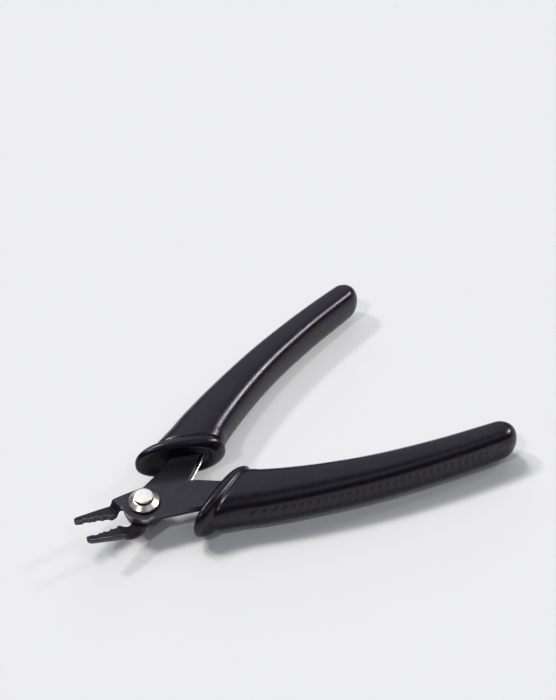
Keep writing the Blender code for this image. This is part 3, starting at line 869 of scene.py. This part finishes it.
# ================================================================ the spring
def spring_route():
    bend_x, bend_r = 14.95, 0.75
    leg_dir = 36.5
    pts = []
    a = 180.0
    while a > 90.0 + leg_dir:
        pts.append((bend_x + bend_r * math.cos(math.radians(a)), bend_r * math.sin(math.radians(a))))
        a -= 6.0
    d = math.radians(leg_dir)
    x, y = pts[-1]
    t = 0.5
    while t < 12.85:
        pts.append((x + t * math.cos(d), y + t * math.sin(d)))
        t += 0.4
    return [(x, -y) for x, y in reversed(pts[1:])] + pts


def tube(name, route, radius, z, mat, sides=20):
    verts, faces = [], []
    m = len(route)
    for k, (x, y) in enumerate(route):
        p, q = route[max(k - 1, 0)], route[min(k + 1, m - 1)]
        d = Vector((q[0] - p[0], q[1] - p[1], 0)).normalized()
        nrm = Vector((-d.y, d.x, 0))
        r = radius * (0.82 if k in (0, m - 1) else 1.0)
        for i in range(sides):
            t = 2 * math.pi * i / sides
            v = Vector((x + PX, y, z)) + nrm * (r * math.cos(t)) + Vector((0, 0, r * math.sin(t)))
            verts.append(v * MM)
    for k in range(m - 1):
        for i in range(sides):
            j = (i + 1) % sides
            faces.append((k * sides + i, k * sides + j, (k + 1) * sides + j, (k + 1) * sides + i))
    faces.append(list(range(sides)))
    faces.append([(m - 1) * sides + i for i in range(sides)])
    me = bpy.data.meshes.new(name)
    me.from_pydata([tuple(v) for v in verts], [], faces)
    bm = bmesh.new()
    bm.from_mesh(me)
    bmesh.ops.recalc_face_normals(bm, faces=bm.faces)
    bm.to_mesh(me)
    bm.free()
    me.materials.append(mat)
    finish_mesh(me, 45)
    ob = bpy.data.objects.new(name, me)
    bpy.context.scene.collection.objects.link(ob)
    return ob


spring = tube("return_spring_wire", spring_route(), WIRE_R, SPRING_Z, M_WIRE)
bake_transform(spring)
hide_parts("return_spring")

# ============================================================== floor, lights
def floor_material():
    g = Graph("studio_floor")
    v = g.coords()
    n = g.noise(v, 3.0, 2.0, 0.5)
    g.set("Base Color", g.ramp(n, [(0.2, (0.798, 0.80, 0.80)), (0.8, (0.802, 0.804, 0.804))]))
    g.bsdf.inputs["Roughness"].default_value = 0.9
    g.bsdf.inputs["Specular IOR Level"].default_value = 0.1
    return g.mat


me = bpy.data.meshes.new("floor")
S = 6.0
me.from_pydata([(-S, -S, 0), (S, -S, 0), (S, S, 0), (-S, S, 0)], [], [(0, 1, 2, 3)])
me.materials.append(floor_material())
floor = bpy.data.objects.new("floor", me)
bpy.context.scene.collection.objects.link(floor)
floor.location.z = -0.00005


def sun(name, toward, floor_light, angle, color=(1.026, 1.005, 0.984), gloss_only=False, blocked_by=None):
    """floor_light: what it adds to the floor's brightness (albedo 0.8)."""
    li = bpy.data.lights.new(name, 'SUN')
    li.energy = floor_light * math.pi / 0.8 / toward[2]
    li.angle = math.radians(angle)
    li.color = color
    ob = bpy.data.objects.new(name, li)
    ob.rotation_euler = Vector(toward).to_track_quat('Z', 'Y').to_euler()
    bpy.context.scene.collection.objects.link(ob)
    if gloss_only:
        ob.visible_diffuse = False
    if blocked_by:
        coll = bpy.data.collections.new(name + "_blockers")
        for piece in blocked_by:
            coll.objects.link(piece)
        ob.light_linking.blocker_collection = coll
    return ob


# one soft light is flagged off the far grip, so its shadow stays pale
casters = [bpy.data.objects[n] for n in ("near_grip_moulding", "upper_blade_plate",
                                         "pivot_rivet_turned", "upper_collar_turned", "lower_collar_turned")]
sun("key_back_left", (-0.376, 0.541, 0.752), 0.15, 6.0)
sun("key_left", (-0.59, -0.09, 0.80), 0.105, 5.0)
sun("rim_right", (0.818, -0.092, 0.567), 0.045, 7.0)
sun("top_back", (-0.13, 0.52, 0.85), 0.30, 15.0, blocked_by=casters)
# light bounced round the studio, which leaves no shadow and no highlight
sun("fill", (0.0, 0.0, 1.0), 0.042, 30.0, color=(0.93, 0.98, 1.06), blocked_by=casters[2:3]).visible_glossy = False
sun("strip_right", (0.77, -0.30, 0.56), 0.26, 12.0, gloss_only=True)

world = bpy.data.worlds.new("studio")
bpy.context.scene.world = world
world.use_nodes = True
wn = world.node_tree
bg = wn.nodes["Background"]
tc = wn.nodes.new("ShaderNodeTexCoord")


def soft_box(toward, outer, inner, color):
    """A soft round patch of the studio's surround, in degrees from its middle."""
    d = Vector(toward).normalized()
    dot = wn.nodes.new("ShaderNodeVectorMath")
    dot.operation = 'DOT_PRODUCT'
    dot.inputs[1].default_value = d
    wn.links.new(tc.outputs["Generated"], dot.inputs[0])
    m = wn.nodes.new("ShaderNodeMapRange")
    m.interpolation_type = 'SMOOTHSTEP'
    m.inputs["From Min"].default_value = math.cos(math.radians(outer))
    m.inputs["From Max"].default_value = math.cos(math.radians(inner))
    wn.links.new(dot.outputs["Value"], m.inputs["Value"])
    sc = wn.nodes.new("ShaderNodeVectorMath")
    sc.operation = 'SCALE'
    sc.inputs[0].default_value = color
    wn.links.new(m.outputs["Result"], sc.inputs["Scale"])
    return sc.outputs[0]


total = None
for box in (((0.42, 0.60, 0.69), 46, 12, (0.735, 0.765, 0.90)),
            ((0.08, -0.55, 0.83), 20, 4, (0.80, 0.83, 0.96)),
            ((0.0, 0.0, 1.0), 110, 20, (0.065, 0.069, 0.077))):
    out = soft_box(*box)
    if total is None:
        total = out
    else:
        add = wn.nodes.new("ShaderNodeVectorMath")
        add.operation = 'ADD'
        wn.links.new(total, add.inputs[0])
        wn.links.new(out, add.inputs[1])
        total = add.outputs[0]
wn.links.new(total, bg.inputs["Color"])
bg.inputs["Strength"].default_value = 1.0

# ==================================================================== camera
az, el = math.radians(-34.95), math.radians(43.34)
back = Vector((math.sin(az) * math.cos(el), -math.cos(az) * math.cos(el), math.sin(el)))
right = Vector((math.cos(az), math.sin(az), 0))
up = back.cross(right)
f_px, dist = 1100.0, 0.2985
p0 = Vector((PX * MM, 0, (PZ + RIM) * MM))
xc = (143.9 - 278.0) / f_px * dist
yc = -(500.0 - 350.0) / f_px * dist
cam_pos = p0 - xc * right - yc * up + dist * back
cam = bpy.data.cameras.new("camera")
cam.sensor_fit = 'VERTICAL'
cam.sensor_height = 36.0
cam.sensor_width = 36.0
cam.lens = 36.0 * f_px / 700.0
cam.clip_start = 0.01
cam.clip_end = 50.0
cam_ob = bpy.data.objects.new("camera", cam)
rot = Matrix((right, up, back)).transposed().to_4x4()
cam_ob.matrix_world = Matrix.Translation(cam_pos) @ rot
bpy.context.scene.collection.objects.link(cam_ob)
bpy.context.scene.camera = cam_ob
bpy.context.scene.view_settings.view_transform = 'Standard'
bpy.context.scene.view_settings.look = 'None'
